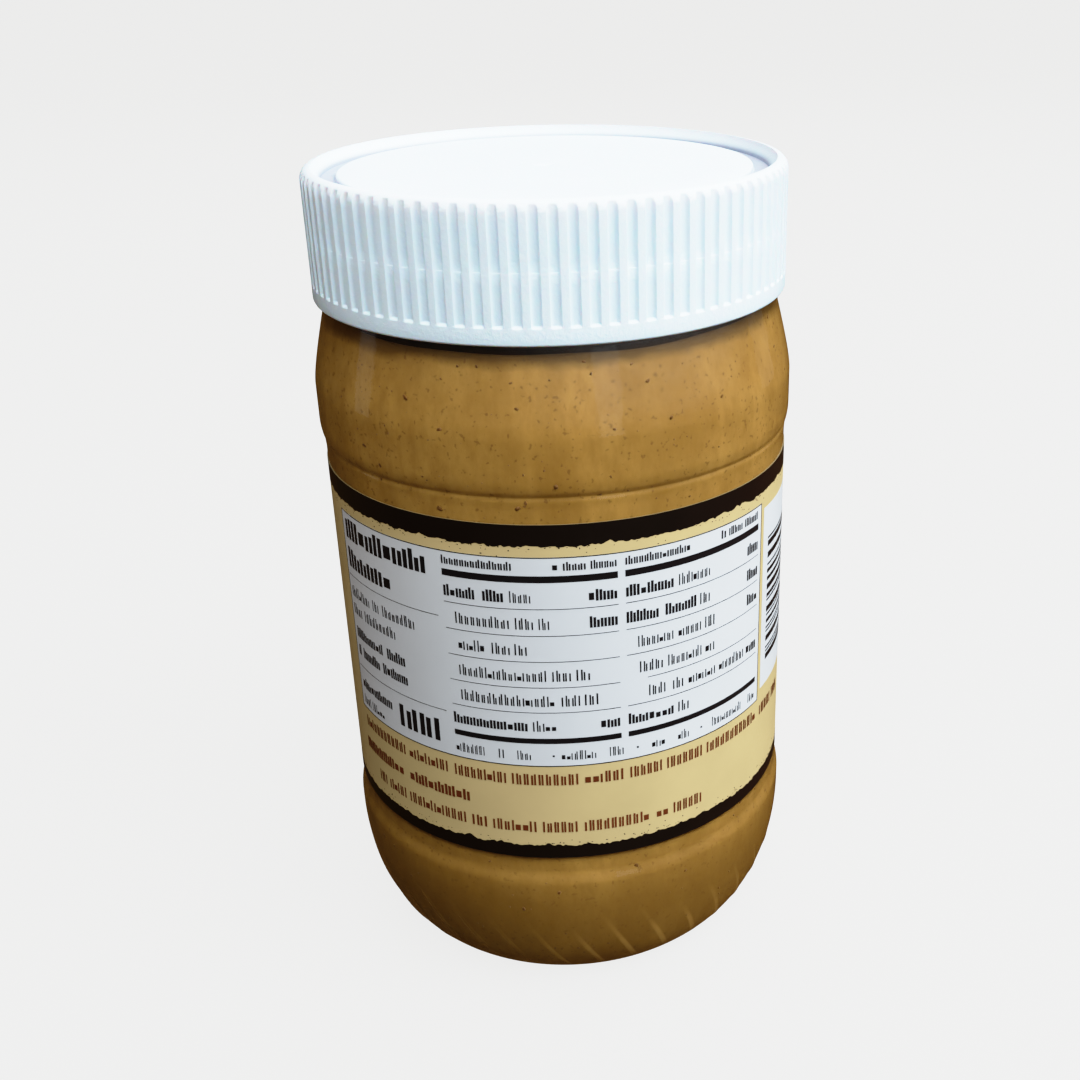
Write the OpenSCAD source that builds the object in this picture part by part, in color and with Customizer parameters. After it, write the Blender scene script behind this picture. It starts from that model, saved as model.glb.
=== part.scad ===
// Peanut butter jar: a clear round jar, its filling, a wrap-round label and a ribbed screw cap.
// Millimetres, +Z up. The origin is the centre of the ring that the jar stands on.

/* [Jar body] */
// Outside diameter of the straight wall that carries the label
panel_d = 73; // [60:0.5:90]
// Height of that straight wall
panel_h = 60.9; // [30:0.1:110]
// Thickness of the plastic wall
wall_t = 0.7; // [0.4:0.05:1.5]

/* [Heel and foot] */
// How far the heel's widest ring stands out from the straight wall
heel_out = 0.6; // [0.2:0.05:2]
// Height of the rounded heel
heel_h = 21.9; // [12:0.1:34]
// How far the heel curves in from its widest ring to the foot
heel_in = 11.8; // [6:0.1:20]
// Height of the upright stretch above the heel's curve
heel_band_h = 1.7; // [0.5:0.1:10]
// Height of the soft step from the heel up to the straight wall
heel_step_h = 2.8; // [1:0.1:8]
// Width of the flat ring that the jar stands on
foot_w = 1.5; // [0.8:0.1:4]
// Rise of the hollow under the base at its middle
push_up = 4.5; // [1:0.1:9]
// Thickness of the base
base_t = 1; // [0.6:0.05:2]

/* [Shoulder and neck] */
// How far the shoulder's widest ring stands out from the straight wall
shoulder_out = 0.6; // [0.2:0.05:2]
// Height of the soft step from the straight wall out to the shoulder
shoulder_step_h = 4.7; // [1:0.1:10]
// Height of the shoulder's upright stretch
shoulder_band_h = 5.3; // [1:0.1:15]
// Height over which the shoulder draws in to the neck
shoulder_slope_h = 13.1; // [6:0.1:25]
// Height over which the shoulder turns from upright into its slope
shoulder_turn_h = 2.5; // [1:0.1:5]
// Outside diameter of the neck
neck_d = 66.8; // [52:0.1:84]
// How far the foot of the neck stands out where the shoulder meets it
neck_flare = 0.9; // [0.4:0.05:2]
// Height over which that flare draws in to the neck
neck_flare_h = 1.2; // [0.5:0.1:3]
// Rounding of the neck's top edge
neck_lip = 0.2; // [0.1:0.05:0.3]

/* [Filling] */
// How far the filling's level lies below the cap's lower edge
fill_drop = 1.1; // [0.5:0.1:40]

/* [Label] */
// Thickness of the label
label_t = 0.1; // [0.08:0.01:0.3]
// Bare strip of the straight wall below the label
label_gap_low = 2.6; // [0.2:0.1:10]
// Bare strip of the straight wall above the label
label_gap_top = 1.9; // [0.2:0.1:10]
// Width of the lap where the label's ends are glued over each other
lap_w = 8; // [3:0.5:20]

/* [Cap] */
// Inside depth of the cap, from its lower edge up to the neck's rim
cap_depth = 15.9; // [8:0.1:25]
// Clearance between the foot of the neck and the cap's skirt
cap_gap = 0.4; // [0.2:0.05:1]
// Thickness of the skirt behind the ribs
skirt_t = 0.75; // [0.5:0.05:1.5]
// Depth of the hollows between the ribs
rib_depth = 0.55; // [0.2:0.05:0.8]
// Number of ribs round the skirt
rib_count = 88; // [40:4:120]
// Share of each rib's pitch that its crest takes
rib_crest = 0.42; // [0.15:0.01:0.5]
// Height of the plain band below the ribs
band_h = 2.5; // [1:0.1:5]
// Thickness of the cap's top at its thinnest
top_t = 1; // [0.7:0.05:2]
// Depth of the ring-shaped groove, measured from the middle disc
groove_depth = 0.75; // [0.2:0.05:1.5]
// How far the middle disc lies below the cap's rim
disc_drop = 1.25; // [0.3:0.05:2]
// Width of the groove between the rim and the middle disc
groove_w = 2.6; // [1:0.1:6]
// Rounding of the cap's upper outside edge
rim_round = 1.6; // [0.8:0.1:1.8]
// Width of the rim's inner slope, from its crest to the groove
rim_slope_w = 1.2; // [0.5:0.1:3]
// Rounding of the cap's lower outside edge
skirt_round = 0.4; // [0.1:0.05:0.6]

/* [Hidden] */

$fn = 96;
arc_steps = 18;        // straight pieces in each curve of the jar's outline
small_steps = 6;       // straight pieces in each small rounding
overcut = 1;           // how far a cutter runs past the face that it opens

panel_r = panel_d / 2;
heel_r = panel_r + heel_out;
foot_r = heel_r - heel_in;
shoulder_r = panel_r + shoulder_out;
neck_r = neck_d / 2;
neck_foot_r = neck_r + neck_flare;

// Heights, from the foot upwards
panel_z = heel_h + heel_band_h + heel_step_h;
panel_top_z = panel_z + panel_h;
shoulder_z = panel_top_z + shoulder_step_h;
slope_z = shoulder_z + shoulder_band_h;
neck_z = slope_z + shoulder_slope_h;
cap_z = neck_z;                         // the skirt ends where the shoulder meets the neck
neck_top_z = cap_z + cap_depth;
cap_top_z = neck_top_z + top_t + groove_depth + disc_drop;
fill_z = cap_z - fill_drop;

label_z = panel_z + label_gap_low;
label_h = panel_h - label_gap_low - label_gap_top;

skirt_in_r = neck_foot_r + cap_gap;
hollow_r = skirt_in_r + skirt_t;        // the ribs' hollows reach in to here
cap_r = hollow_r + rib_depth;
crest_r = cap_r - rim_round;            // the rim is highest here
groove_r = crest_r - rim_slope_w;
disc_r = groove_r - groove_w;

// Each hollow is cut by a cylinder whose chord on the skirt is the pitch less the crest
hollow_half_w = PI * cap_r / rib_count * (1 - rib_crest);
cutter_r = (hollow_half_w * hollow_half_w + rib_depth * rib_depth) / (2 * rib_depth);

// Part of an ellipse about [r, z], between two angles
function arc(r, z, half_w, half_h, from, to, steps) =
    [for (i = [0:steps]) let (t = from + (to - from) * i / steps) [r + half_w * cos(t), z + half_h * sin(t)]];

// A soft step: half a cosine wave from one ring to another, without its first point
function soft_step(r0, z0, r1, z1, steps) =
    [for (i = [1:steps]) let (u = i / steps) [r0 + (r1 - r0) * (1 - cos(180 * u)) / 2, z0 + (z1 - z0) * u]];

// A parabola that leaves upright and ends on a straight slope, without its first point
function draw_in(r0, z0, r1, z1, turn, steps) =
    [for (i = [1:steps]) let (u = i / steps) [r0 + (r1 - r0) * u * u, z0 + 2 * u * (1 - u) * turn + u * u * (z1 - z0)]];

// Outline of the jar's right half from the middle of its base to its rim.
// in_r and in_z move it inwards, for the inside of the wall and of the base.
function jar_outline(in_r, in_z) = concat(
    [for (i = [0:arc_steps]) let (u = i / arc_steps)
        [(foot_r - foot_w) * u, in_z + push_up * (1 - u * u)]],
    arc(foot_r, heel_h, heel_in - in_r, heel_h - in_z, -90, 0, arc_steps),
    [[heel_r - in_r, heel_h + heel_band_h]],
    soft_step(heel_r - in_r, heel_h + heel_band_h, panel_r - in_r, panel_z, small_steps),
    [[panel_r - in_r, panel_top_z]],
    soft_step(panel_r - in_r, panel_top_z, shoulder_r - in_r, shoulder_z, small_steps),
    [[shoulder_r - in_r, slope_z]],
    draw_in(shoulder_r - in_r, slope_z, neck_foot_r - in_r, neck_z, shoulder_turn_h, arc_steps),
    soft_step(neck_foot_r - in_r, neck_z, neck_r - in_r, neck_z + neck_flare_h, small_steps));

// A clear shell of even wall: heel, straight panel, barrel shoulder and neck, open at the top
module jar() {
    outside = concat(jar_outline(0, 0),
        arc(neck_r - neck_lip, neck_top_z - neck_lip, neck_lip, neck_lip, 0, 90, small_steps));
    inside = concat(jar_outline(wall_t, base_t), [[neck_r - wall_t, neck_top_z]]);
    color("Wheat", 0.35)
        rotate_extrude()
            polygon(concat(outside, [for (i = [len(inside) - 1:-1:0]) inside[i]]));
}

// Peanut butter fills the shell from its base up to the level
module peanut_butter() {
    color("Peru")
        intersection() {
            rotate_extrude()
                polygon(concat(jar_outline(wall_t, base_t), [[neck_r - wall_t, neck_top_z], [0, neck_top_z]]));
            cylinder(r = shoulder_r + overcut, h = fill_z);
        }
}

// The label wraps round the straight wall, and its ends lap at the back
module label() {
    lap_angle = lap_w / panel_r * 180 / PI;
    color("Ivory")
        translate([0, 0, label_z])
            union() {
                rotate_extrude()
                    translate([panel_r, 0])
                        square([label_t, label_h]);
                rotate([0, 0, 90 - lap_angle / 2])
                    rotate_extrude(angle = lap_angle)
                        translate([panel_r + label_t / 2, 0])
                            square([label_t * 1.5, label_h]);
            }
}

// Right half of the cap's section, without its ribs
module cap_section() {
    disc_z = cap_top_z - disc_drop;
    groove_z = disc_z - groove_depth;
    polygon(concat(
        [[0, neck_top_z], [skirt_in_r, neck_top_z], [skirt_in_r, cap_z]],
        arc(cap_r - skirt_round, cap_z + skirt_round, skirt_round, skirt_round, -90, 0, small_steps),
        arc(crest_r, cap_top_z - rim_round, rim_round, rim_round, 0, 90, small_steps),
        soft_step(crest_r, cap_top_z, groove_r, groove_z, small_steps),
        [[disc_r, groove_z], [disc_r, disc_z], [0, disc_z]]));
}

// The screw cap seats on the neck's rim; its ribs are what the scooped hollows leave
module cap() {
    color("AliceBlue")
        difference() {
            rotate_extrude()
                cap_section();
            for (i = [0:rib_count - 1])
                rotate([0, 0, (i + 0.5) * 360 / rib_count])
                    translate([hollow_r + cutter_r, 0, cap_z + band_h])
                        cylinder(r = cutter_r, h = cap_top_z - cap_z - band_h + overcut, $fn = 32);
        }
}

jar();
peanut_butter();
label();
cap();
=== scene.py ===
"""Peanut butter jar: clear shell, filling, printed label and ribbed cap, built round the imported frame."""

import math

import bpy
import numpy as np
from bpy.props import FloatProperty, FloatVectorProperty, IntProperty, PointerProperty
from mathutils import Matrix, Vector


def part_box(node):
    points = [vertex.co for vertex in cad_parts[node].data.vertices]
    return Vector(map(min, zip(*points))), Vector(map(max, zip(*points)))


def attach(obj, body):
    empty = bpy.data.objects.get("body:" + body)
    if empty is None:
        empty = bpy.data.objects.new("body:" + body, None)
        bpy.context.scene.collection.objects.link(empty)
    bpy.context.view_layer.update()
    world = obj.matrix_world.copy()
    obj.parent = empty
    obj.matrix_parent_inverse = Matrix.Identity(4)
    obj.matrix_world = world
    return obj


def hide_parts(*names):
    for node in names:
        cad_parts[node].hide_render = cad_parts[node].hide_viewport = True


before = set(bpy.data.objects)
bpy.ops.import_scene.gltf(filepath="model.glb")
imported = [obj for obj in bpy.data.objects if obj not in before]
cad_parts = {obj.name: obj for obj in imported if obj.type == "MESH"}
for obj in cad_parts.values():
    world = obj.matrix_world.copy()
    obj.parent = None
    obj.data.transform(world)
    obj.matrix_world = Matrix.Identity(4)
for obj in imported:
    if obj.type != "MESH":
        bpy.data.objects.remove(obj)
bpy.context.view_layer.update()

bl_info = {
    "name": "Peanut butter jar",
    "version": (1, 0, 0),
    "blender": (4, 5, 0),
    "location": "3D View > Sidebar > Jar",
    "description": "Builds a filled jar with a printed label and a ribbed cap round its packed frame",
    "category": "Object",
}

BODY = "root"
MM = 0.001
FRONT = -math.pi / 2            # the label's printed panel faces -Y
RIBS_FOOT, RIBS_LOW = 2.5 * MM, 6 * MM      # the heel's ribs rise between these heights
RIBS_HIGH, RIBS_END = 10 * MM, 18 * MM      # and fade out between these
LABEL_LOW, LABEL_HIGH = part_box("label")
CAP_LOW, CAP_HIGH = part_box("cap")
JAR_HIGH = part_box("jar")[1]
FILL_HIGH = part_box("peanut_butter")[1]


# ---------------------------------------------------------------- sizes and colours

def length(label, text, millimetres):
    """A length property, given in millimetres and kept in metres."""
    return FloatProperty(name=label, description=text, default=millimetres * MM, unit="LENGTH",
                         precision=5)


def colour(label, text, value):
    """A colour property in linear red, green and blue."""
    return FloatVectorProperty(name=label, description=text, default=value, size=3, min=0, max=1,
                               subtype="COLOR")


class JarSizes(bpy.types.PropertyGroup):
    """Sizes of the clear shell and of its filling."""
    wall: length("Wall", "Thickness of the plastic wall", 0.7)
    base: length("Base", "Thickness of the base", 1.0)
    heel_out: length("Heel stand-out", "How far the heel stands out from the panel", 0.6)
    heel_height: length("Heel height", "Height of the rounded heel", 21.9)
    heel_in: length("Heel curve", "How far the heel curves in to the foot", 11.8)
    heel_band: length("Heel band", "Height of the upright stretch above the heel", 1.7)
    heel_step: length("Heel step", "Height of the step up to the panel", 2.8)
    foot: length("Foot ring", "Width of the ring that the jar stands on", 1.5)
    push_up: length("Push-up", "Rise of the hollow under the base", 4.5)
    panel: length("Panel", "Height of the straight wall", 60.9)
    shoulder_out: length("Shoulder stand-out", "How far the shoulder stands out from the panel", 0.6)
    shoulder_step: length("Shoulder step", "Height of the step out to the shoulder", 4.7)
    shoulder_band: length("Shoulder band", "Height of the shoulder's upright stretch", 5.3)
    shoulder_slope: length("Shoulder slope", "Height over which the shoulder draws in", 13.1)
    shoulder_turn: length("Shoulder turn", "Height over which the slope begins", 2.5)
    neck_radius: length("Neck radius", "Outside radius of the neck", 33.4)
    neck_flare: length("Neck flare", "How far the neck's foot stands out", 0.9)
    neck_flare_height: length("Flare height", "Height of the neck's flare", 1.2)
    lip: length("Lip", "Rounding of the neck's top edge", 0.2)
    seam_above: length("Seam place", "Height of the fine groove above the label's top edge", 3.9)
    seam_depth: length("Seam depth", "Depth of the fine groove", 0.24)
    seam_width: length("Seam width", "Half width of the fine groove", 0.45)
    heel_ribs: IntProperty(name="Heel ribs", description="Number of slanting ribs round the heel",
                           default=36)
    rib_height: length("Rib height", "Height of the slanting ribs on the heel", 0.13)
    rib_slant: FloatProperty(name="Rib slant", default=14.0,
                             description="Turn of a rib round the jar for each metre of height")
    ripple: length("Ripple", "Depth of the soft waves in the moulded wall", 0.03)
    filling_reach: length("Filling reach", "How far the filling reaches into the wall", 0.3)
    specks: IntProperty(name="Specks", description="Number of dark skin specks in the filling",
                        default=520)


class LabelSizes(bpy.types.PropertyGroup):
    """Sizes of the label and its print."""
    thickness: length("Label thickness", "Thickness of the label", 0.1)
    lap: length("Lap", "Width of the glued lap at the back", 8)
    ink: length("Ink", "Thickness of one layer of print", 0.015)
    top_band: length("Top band", "Height of the dark band at the top", 3.0)
    low_band: length("Low band", "Height of the dark band at the bottom", 2.3)
    tear: length("Tear", "Depth of the bands' torn edges", 0.3)


class CapSizes(bpy.types.PropertyGroup):
    """Sizes of the ribbed cap."""
    ribs: IntProperty(name="Ribs", description="Number of ribs round the skirt", default=88)
    rib_depth: length("Rib depth", "Depth of the hollows between the ribs", 0.55)
    crest: FloatProperty(name="Crest share", description="Share of the pitch that a crest takes",
                         default=0.42, min=0.1, max=0.8)
    turn: FloatProperty(name="Turn", description="How far the cap is screwed round",
                        default=math.radians(4.87), unit="ROTATION")
    band: length("Band", "Height of the plain band below the ribs", 2.5)
    parting: length("Parting", "Height above the lower edge where the hollows change depth", 9.7)
    parting_step: length("Parting step", "How much shallower the hollows are below that", 0.10)
    skirt: length("Skirt", "Thickness of the skirt behind the ribs", 0.75)
    rim_round: length("Rim rounding", "Rounding of the upper outside edge", 1.6)
    rim_slope: length("Rim slope", "Width of the rim's inner slope", 1.2)
    groove: length("Groove", "Width of the ring-shaped groove", 2.6)
    groove_depth: length("Groove depth", "Depth of the groove below the middle disc", 0.75)
    disc_drop: length("Disc drop", "How far the disc lies below the rim", 1.25)
    top: length("Top", "Thickness of the top at its thinnest", 1.0)
    edge: length("Lower edge", "Rounding of the skirt's lower outside edge", 0.4)


class Finishes(bpy.types.PropertyGroup):
    """Colours of the pieces."""
    # peanut and peanut_dark also give the painted highlights along the heel's ribs, the painted shade of
    # the heel and the painted shadow of the cap at the filling's upper edge
    peanut: colour("Peanut butter", "Colour of the filling", (0.268, 0.155, 0.0395))
    peanut_dark: colour("Peanut butter, dark", "Its darker, oilier streaks", (0.178, 0.091, 0.0175))
    # partly a greasy film, partly painted shade: the near-black of the headspace under the cap
    oil_and_shade: colour("Oily tone and painted shade", "Colour of the oil film above the filling", (0.012, 0.0055, 0.0015))
    # painted shade: the grey that stands in for shadow in the cap's ring-shaped groove
    painted_groove_shade: colour("Painted groove shade", "Greyish tone in the cap's groove", (0.215, 0.220, 0.295))
    speck: colour("Speck", "Colour of the skin specks", (0.074, 0.033, 0.008))
    plastic: colour("Clear plastic", "Tint of the clear wall", (0.98, 0.965, 0.93))
    cap: colour("Cap", "Colour of the cap", (0.665, 0.82, 0.935))
    paper: colour("Paper", "Cream ground of the label", (0.53, 0.42, 0.205))
    panel: colour("Panel", "Cool white of the label's printed panel", (0.58, 0.62, 0.65))
    dark: colour("Dark ink", "Dark bands of the label", (0.0065, 0.0040, 0.0030))
    black: colour("Black ink", "Rules and small print", (0.008, 0.007, 0.008))
    brown: colour("Brown ink", "Lines below the panel", (0.105, 0.028, 0.010))


# ---------------------------------------------------------------- meshes from arrays

def new_piece(mesh, material):
    """Links a mesh as a piece of one material, named as the mesh is, that rides on the jar's one body."""
    mesh.materials.append(material)
    piece = bpy.data.objects.new(mesh.name, mesh)
    bpy.context.scene.collection.objects.link(piece)
    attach(piece, BODY)
    return piece


def mesh_from(name, points, faces, sharp_degrees=None):
    """A smooth mesh from arrays of points and faces; edges sharper than the angle stay crisp."""
    mesh = bpy.data.meshes.new(name)
    mesh.from_pydata(points.reshape(-1, 3).tolist(), [], faces)
    mesh.polygons.foreach_set("use_smooth", np.ones(len(mesh.polygons), dtype=bool))
    if sharp_degrees is not None:
        mesh.set_sharp_from_angle(angle=math.radians(sharp_degrees))
    mesh.update()
    return mesh


def ring_faces(rows, columns, closed=False):
    """Quads between neighbouring rings, each of which closes on itself; so does the stack where closed."""
    row, column = np.meshgrid(np.arange(rows if closed else rows - 1), np.arange(columns), indexing="ij")
    after, above = (column + 1) % columns, (row + 1) % rows
    quads = np.stack([row * columns + column, row * columns + after,
                      above * columns + after, above * columns + column], axis=-1)
    return quads.reshape(-1, 4).tolist()


def round_axis(radius, angle, height):
    """Points at a radius from the axis, an angle round it and a height."""
    parts = np.broadcast_arrays(radius * np.cos(angle), radius * np.sin(angle), height)
    return np.stack(parts, axis=-1)


def carried_round(outline, angles):
    """An outline's radius and height, one row for each of its points and one column for each angle."""
    radius = np.repeat(outline[:, :1], len(angles), axis=1)
    height = np.repeat(outline[:, 1:], len(angles), axis=1)
    return radius, height


def revolve(name, radius, height, angles, sharp_degrees):
    """A closed surface of rings: radius and height hold one row for each ring, one column for each angle.

    A point on the axis closes the first ring, and another the last, each with a fan of triangles.
    """
    rows, columns = radius.shape
    rings = round_axis(radius, angles, height).reshape(-1, 3)
    start, end = (0, 0, height[0].mean()), (0, 0, height[-1].mean())
    points = np.concatenate([rings, [start, end]])
    ring = np.arange(columns)
    after = (ring + 1) % columns
    first_fan = np.stack([np.full(columns, rows * columns), after, ring], axis=-1)
    last = (rows - 1) * columns
    last_fan = np.stack([np.full(columns, rows * columns + 1), last + ring, last + after], axis=-1)
    faces = ring_faces(rows, columns) + first_fan.tolist() + last_fan.tolist()
    return mesh_from(name, points, faces, sharp_degrees)


def turns(columns):
    """Evenly spaced angles for one full turn."""
    return np.linspace(0, 2 * math.pi, columns, endpoint=False)


def soft_step(low, high, steps):
    """Half a cosine wave between two (radius, height) points, without the first point."""
    share = np.linspace(0, 1, steps + 1)[1:]
    radius = low[0] + (high[0] - low[0]) * (1 - np.cos(math.pi * share)) / 2
    return np.stack([radius, low[1] + (high[1] - low[1]) * share], axis=-1)


def ellipse_arc(centre, half_width, half_height, start, end, steps):
    """Part of an ellipse about a (radius, height) centre, between two angles in degrees."""
    angle = np.radians(np.linspace(start, end, steps + 1))
    radius = centre[0] + half_width * np.cos(angle)
    height = centre[1] + half_height * np.sin(angle)
    return np.stack([radius, height], axis=-1)


def draw_in(low, high, turn, steps):
    """A parabola that leaves upright and ends on a straight slope, without its first point."""
    share = np.linspace(0, 1, steps + 1)[1:]
    radius = low[0] + (high[0] - low[0]) * share ** 2
    height = low[1] + 2 * share * (1 - share) * turn + share ** 2 * (high[1] - low[1])
    return np.stack([radius, height], axis=-1)


def between(low, high, steps):
    """Evenly spaced points on the straight line between two points, without the first."""
    share = np.linspace(0, 1, steps + 1)[1:, None]
    return np.asarray(low) + (np.asarray(high) - np.asarray(low)) * share


def smooth(low, high, value):
    """Rises smoothly from 0 at low to 1 at high."""
    share = np.clip((value - low) / (high - low), 0, 1)
    return share * share * (3 - 2 * share)


def waves(angle, height, seed, count, around, upright):
    """A sum of sine waves of random direction and phase, which closes after one turn; about -1 to 1."""
    random = np.random.default_rng(seed)
    total = 0
    for _ in range(count):
        turns_round = random.integers(1, around + 1)
        rise = random.uniform(-upright, upright)
        total = total + np.sin(turns_round * angle + rise * height + random.uniform(0, 2 * math.pi))
    return total / math.sqrt(count)


# ---------------------------------------------------------------- the jar's outline

def panel_radius():
    """Outside radius of the straight wall, from the label that lies on it."""
    return LABEL_HIGH[0] - bpy.context.scene.jar_label.thickness


def jar_outline(inset, lift):
    """The jar's half outline, from the middle of its base to the neck, moved in by inset and lift."""
    s = bpy.context.scene.jar_sizes
    panel = panel_radius()
    heel = panel + s.heel_out
    shoulder = panel + s.shoulder_out
    foot = heel - s.heel_in
    band_top = s.heel_height + s.heel_band
    panel_low = band_top + s.heel_step
    panel_high = panel_low + s.panel
    shoulder_low = panel_high + s.shoulder_step
    slope = shoulder_low + s.shoulder_band
    neck = slope + s.shoulder_slope
    share = np.linspace(0.02, 1, 14)
    hollow = np.stack([(foot - s.foot) * share, lift + s.push_up * (1 - share ** 2)], axis=-1)
    parts = [
        hollow,
        ellipse_arc((foot, s.heel_height), s.heel_in - inset, s.heel_height - lift, -90, 0, 44),
        between((heel - inset, s.heel_height), (heel - inset, band_top), 2),
        soft_step((heel - inset, band_top), (panel - inset, panel_low), 10),
        between((panel - inset, panel_low), (panel - inset, panel_high), 4),
        soft_step((panel - inset, panel_high), (shoulder - inset, shoulder_low), 28),
        between((shoulder - inset, shoulder_low), (shoulder - inset, slope), 4),
        draw_in((shoulder - inset, slope), (s.neck_radius + s.neck_flare - inset, neck),
                s.shoulder_turn, 16),
        soft_step((s.neck_radius + s.neck_flare - inset, neck),
                  (s.neck_radius - inset, neck + s.neck_flare_height), 4),
    ]
    return np.concatenate(parts)


def seam_groove(height):
    """Depth of the fine groove that runs round the step between the panel and the shoulder."""
    s = bpy.context.scene.jar_sizes
    middle = LABEL_HIGH[2] + s.seam_above
    return s.seam_depth * np.exp(-((height - middle) / s.seam_width) ** 2)


def heel_ribs(angle, height):
    """The slanting ribs on the heel, from 0 to 1.

    A ridge stands wherever the turn, plus a share of the height, is a whole number of ribs; it fades out
    towards the foot and towards the top of the heel.
    """
    s = bpy.context.scene.jar_sizes
    phase = s.heel_ribs * (angle + s.rib_slant * height) / (2 * math.pi)
    away = np.abs((phase + 0.5) % 1 - 0.5)
    ridge = 1 - smooth(0.0, 0.2, away)
    return ridge * smooth(RIBS_FOOT, RIBS_LOW, height) * (1 - smooth(RIBS_HIGH, RIBS_END, height))


def wall_relief(angle, height):
    """How far the outer wall lies inside its outline: the fine groove and the soft waves, less the ribs."""
    s = bpy.context.scene.jar_sizes
    ripple = waves(angle, height, 11, 9, 9, 260)
    above_foot = smooth(1 * MM, 6 * MM, height) * (1 - smooth(104 * MM, 110 * MM, height))
    off_label = 1 - smooth(26 * MM, 28 * MM, height) * (1 - smooth(86 * MM, 88 * MM, height))
    return (seam_groove(height) - s.rib_height * heel_ribs(angle, height)
            + s.ripple * (0.5 + 0.5 * ripple) * above_foot * off_label)


# ---------------------------------------------------------------- shader nodes

def add_node(tree, kind, inputs, **settings):
    """A shader node with its settings; each input, by name or by place, takes a socket or a value."""
    node = tree.nodes.new("ShaderNode" + kind)
    for label, value in settings.items():
        setattr(node, label, value)
    for place, value in inputs.items():
        if isinstance(value, bpy.types.NodeSocket):
            tree.links.new(value, node.inputs[place])
        else:
            node.inputs[place].default_value = value
    return node


def object_point(tree):
    """The Object coordinates as one vector."""
    return add_node(tree, "TexCoord", {}).outputs["Object"]


def object_axes(tree):
    """The Object coordinates as three values, X, Y and Z."""
    return add_node(tree, "SeparateXYZ", {0: object_point(tree)}).outputs


def add_noise(tree, scale, detail=3.0, roughness=0.55, stretch=(1, 1, 1)):
    """A noise texture on Object coordinates, stretched along the axes; gives its value."""
    mapping = add_node(tree, "Mapping", {"Vector": object_point(tree), "Scale": stretch})
    inputs = {"Vector": mapping.outputs["Vector"], "Scale": scale, "Detail": detail,
              "Roughness": roughness}
    return add_node(tree, "TexNoise", inputs).outputs["Fac"]


def add_range(tree, value, low, high, to_low=0.0, to_high=1.0, curve="LINEAR"):
    """Maps a value from one range to another, held at both ends."""
    inputs = {"Value": value, "From Min": low, "From Max": high, "To Min": to_low, "To Max": to_high}
    return add_node(tree, "MapRange", inputs, interpolation_type=curve).outputs["Result"]


def add_mix(tree, factor, first, second):
    """Mixes two colours; each is a socket or four numbers."""
    return add_node(tree, "Mix", {0: factor, 6: first, 7: second}, data_type="RGBA").outputs[2]


def calculate(tree, operation, *values):
    """The result of one step of arithmetic on sockets and numbers."""
    return add_node(tree, "Math", dict(enumerate(values)), operation=operation).outputs[0]


def shade(colour, factor=1.0, lift=0.0):
    """A colour made lighter or darker, held at 1, as four numbers."""
    return (*(min(1.0, part * factor + lift) for part in colour), 1.0)


# ---------------------------------------------------------------- effects that several materials share

def shader_group(name, inputs, outputs):
    """An empty shader node group with named sockets; gives the tree and its two end nodes."""
    tree = bpy.data.node_groups.new(name, "ShaderNodeTree")
    for label, kind, default in inputs:
        socket = tree.interface.new_socket(name=label, in_out="INPUT", socket_type=kind)
        socket.default_value = default
    for label, kind in outputs:
        tree.interface.new_socket(name=label, in_out="OUTPUT", socket_type=kind)
    return tree, tree.nodes.new("NodeGroupInput"), tree.nodes.new("NodeGroupOutput")


def slant_ribs_group():
    """Fine ridges that run down and round the heel, as a mask that fades at both ends.

    The turn round the axis, plus a share of the height, is cut into as many parts as there are ribs; the
    mask is 1 at each whole number of parts and falls to 0 over the ribs' half width.
    """
    tree, start, end = shader_group(
        "Slant ribs",
        [("Count", "NodeSocketFloat", 36.0), ("Slant", "NodeSocketFloat", 14.0),
         ("Width", "NodeSocketFloat", 0.07)],
        [("Mask", "NodeSocketFloat")])
    axes = object_axes(tree)
    around = calculate(tree, "ARCTAN2", axes["Y"], axes["X"])
    lean = calculate(tree, "MULTIPLY", axes["Z"], start.outputs["Slant"])
    turn = calculate(tree, "MULTIPLY_ADD", calculate(tree, "ADD", around, lean), 1 / (2 * math.pi), 2.0)
    parts = calculate(tree, "MULTIPLY", turn, start.outputs["Count"])
    away = calculate(tree, "PINGPONG", parts, 0.5)
    ridge = add_range(tree, away, 0.0, start.outputs["Width"], 1.0, 0.0, "SMOOTHSTEP")
    low_fade = add_range(tree, axes["Z"], RIBS_FOOT, RIBS_LOW)
    high_fade = add_range(tree, axes["Z"], RIBS_HIGH, RIBS_END, 1.0, 0.0)
    mask = calculate(tree, "MULTIPLY", calculate(tree, "MULTIPLY", low_fade, high_fade), ridge)
    tree.links.new(mask, end.inputs["Mask"])


def mottle_group():
    """A colour that drifts between two tones in cloudy patches of one size."""
    tree, start, end = shader_group(
        "Mottle",
        [("First", "NodeSocketColor", (1, 1, 1, 1)), ("Second", "NodeSocketColor", (0, 0, 0, 1)),
         ("Scale", "NodeSocketFloat", 60.0), ("Amount", "NodeSocketFloat", 0.5)],
        [("Color", "NodeSocketColor")])
    cloud = add_range(tree, add_noise(tree, start.outputs["Scale"]), 0.3, 0.7)
    amount = calculate(tree, "MULTIPLY", cloud, start.outputs["Amount"])
    mixed = add_mix(tree, amount, start.outputs["First"], start.outputs["Second"])
    tree.links.new(mixed, end.inputs["Color"])


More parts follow.
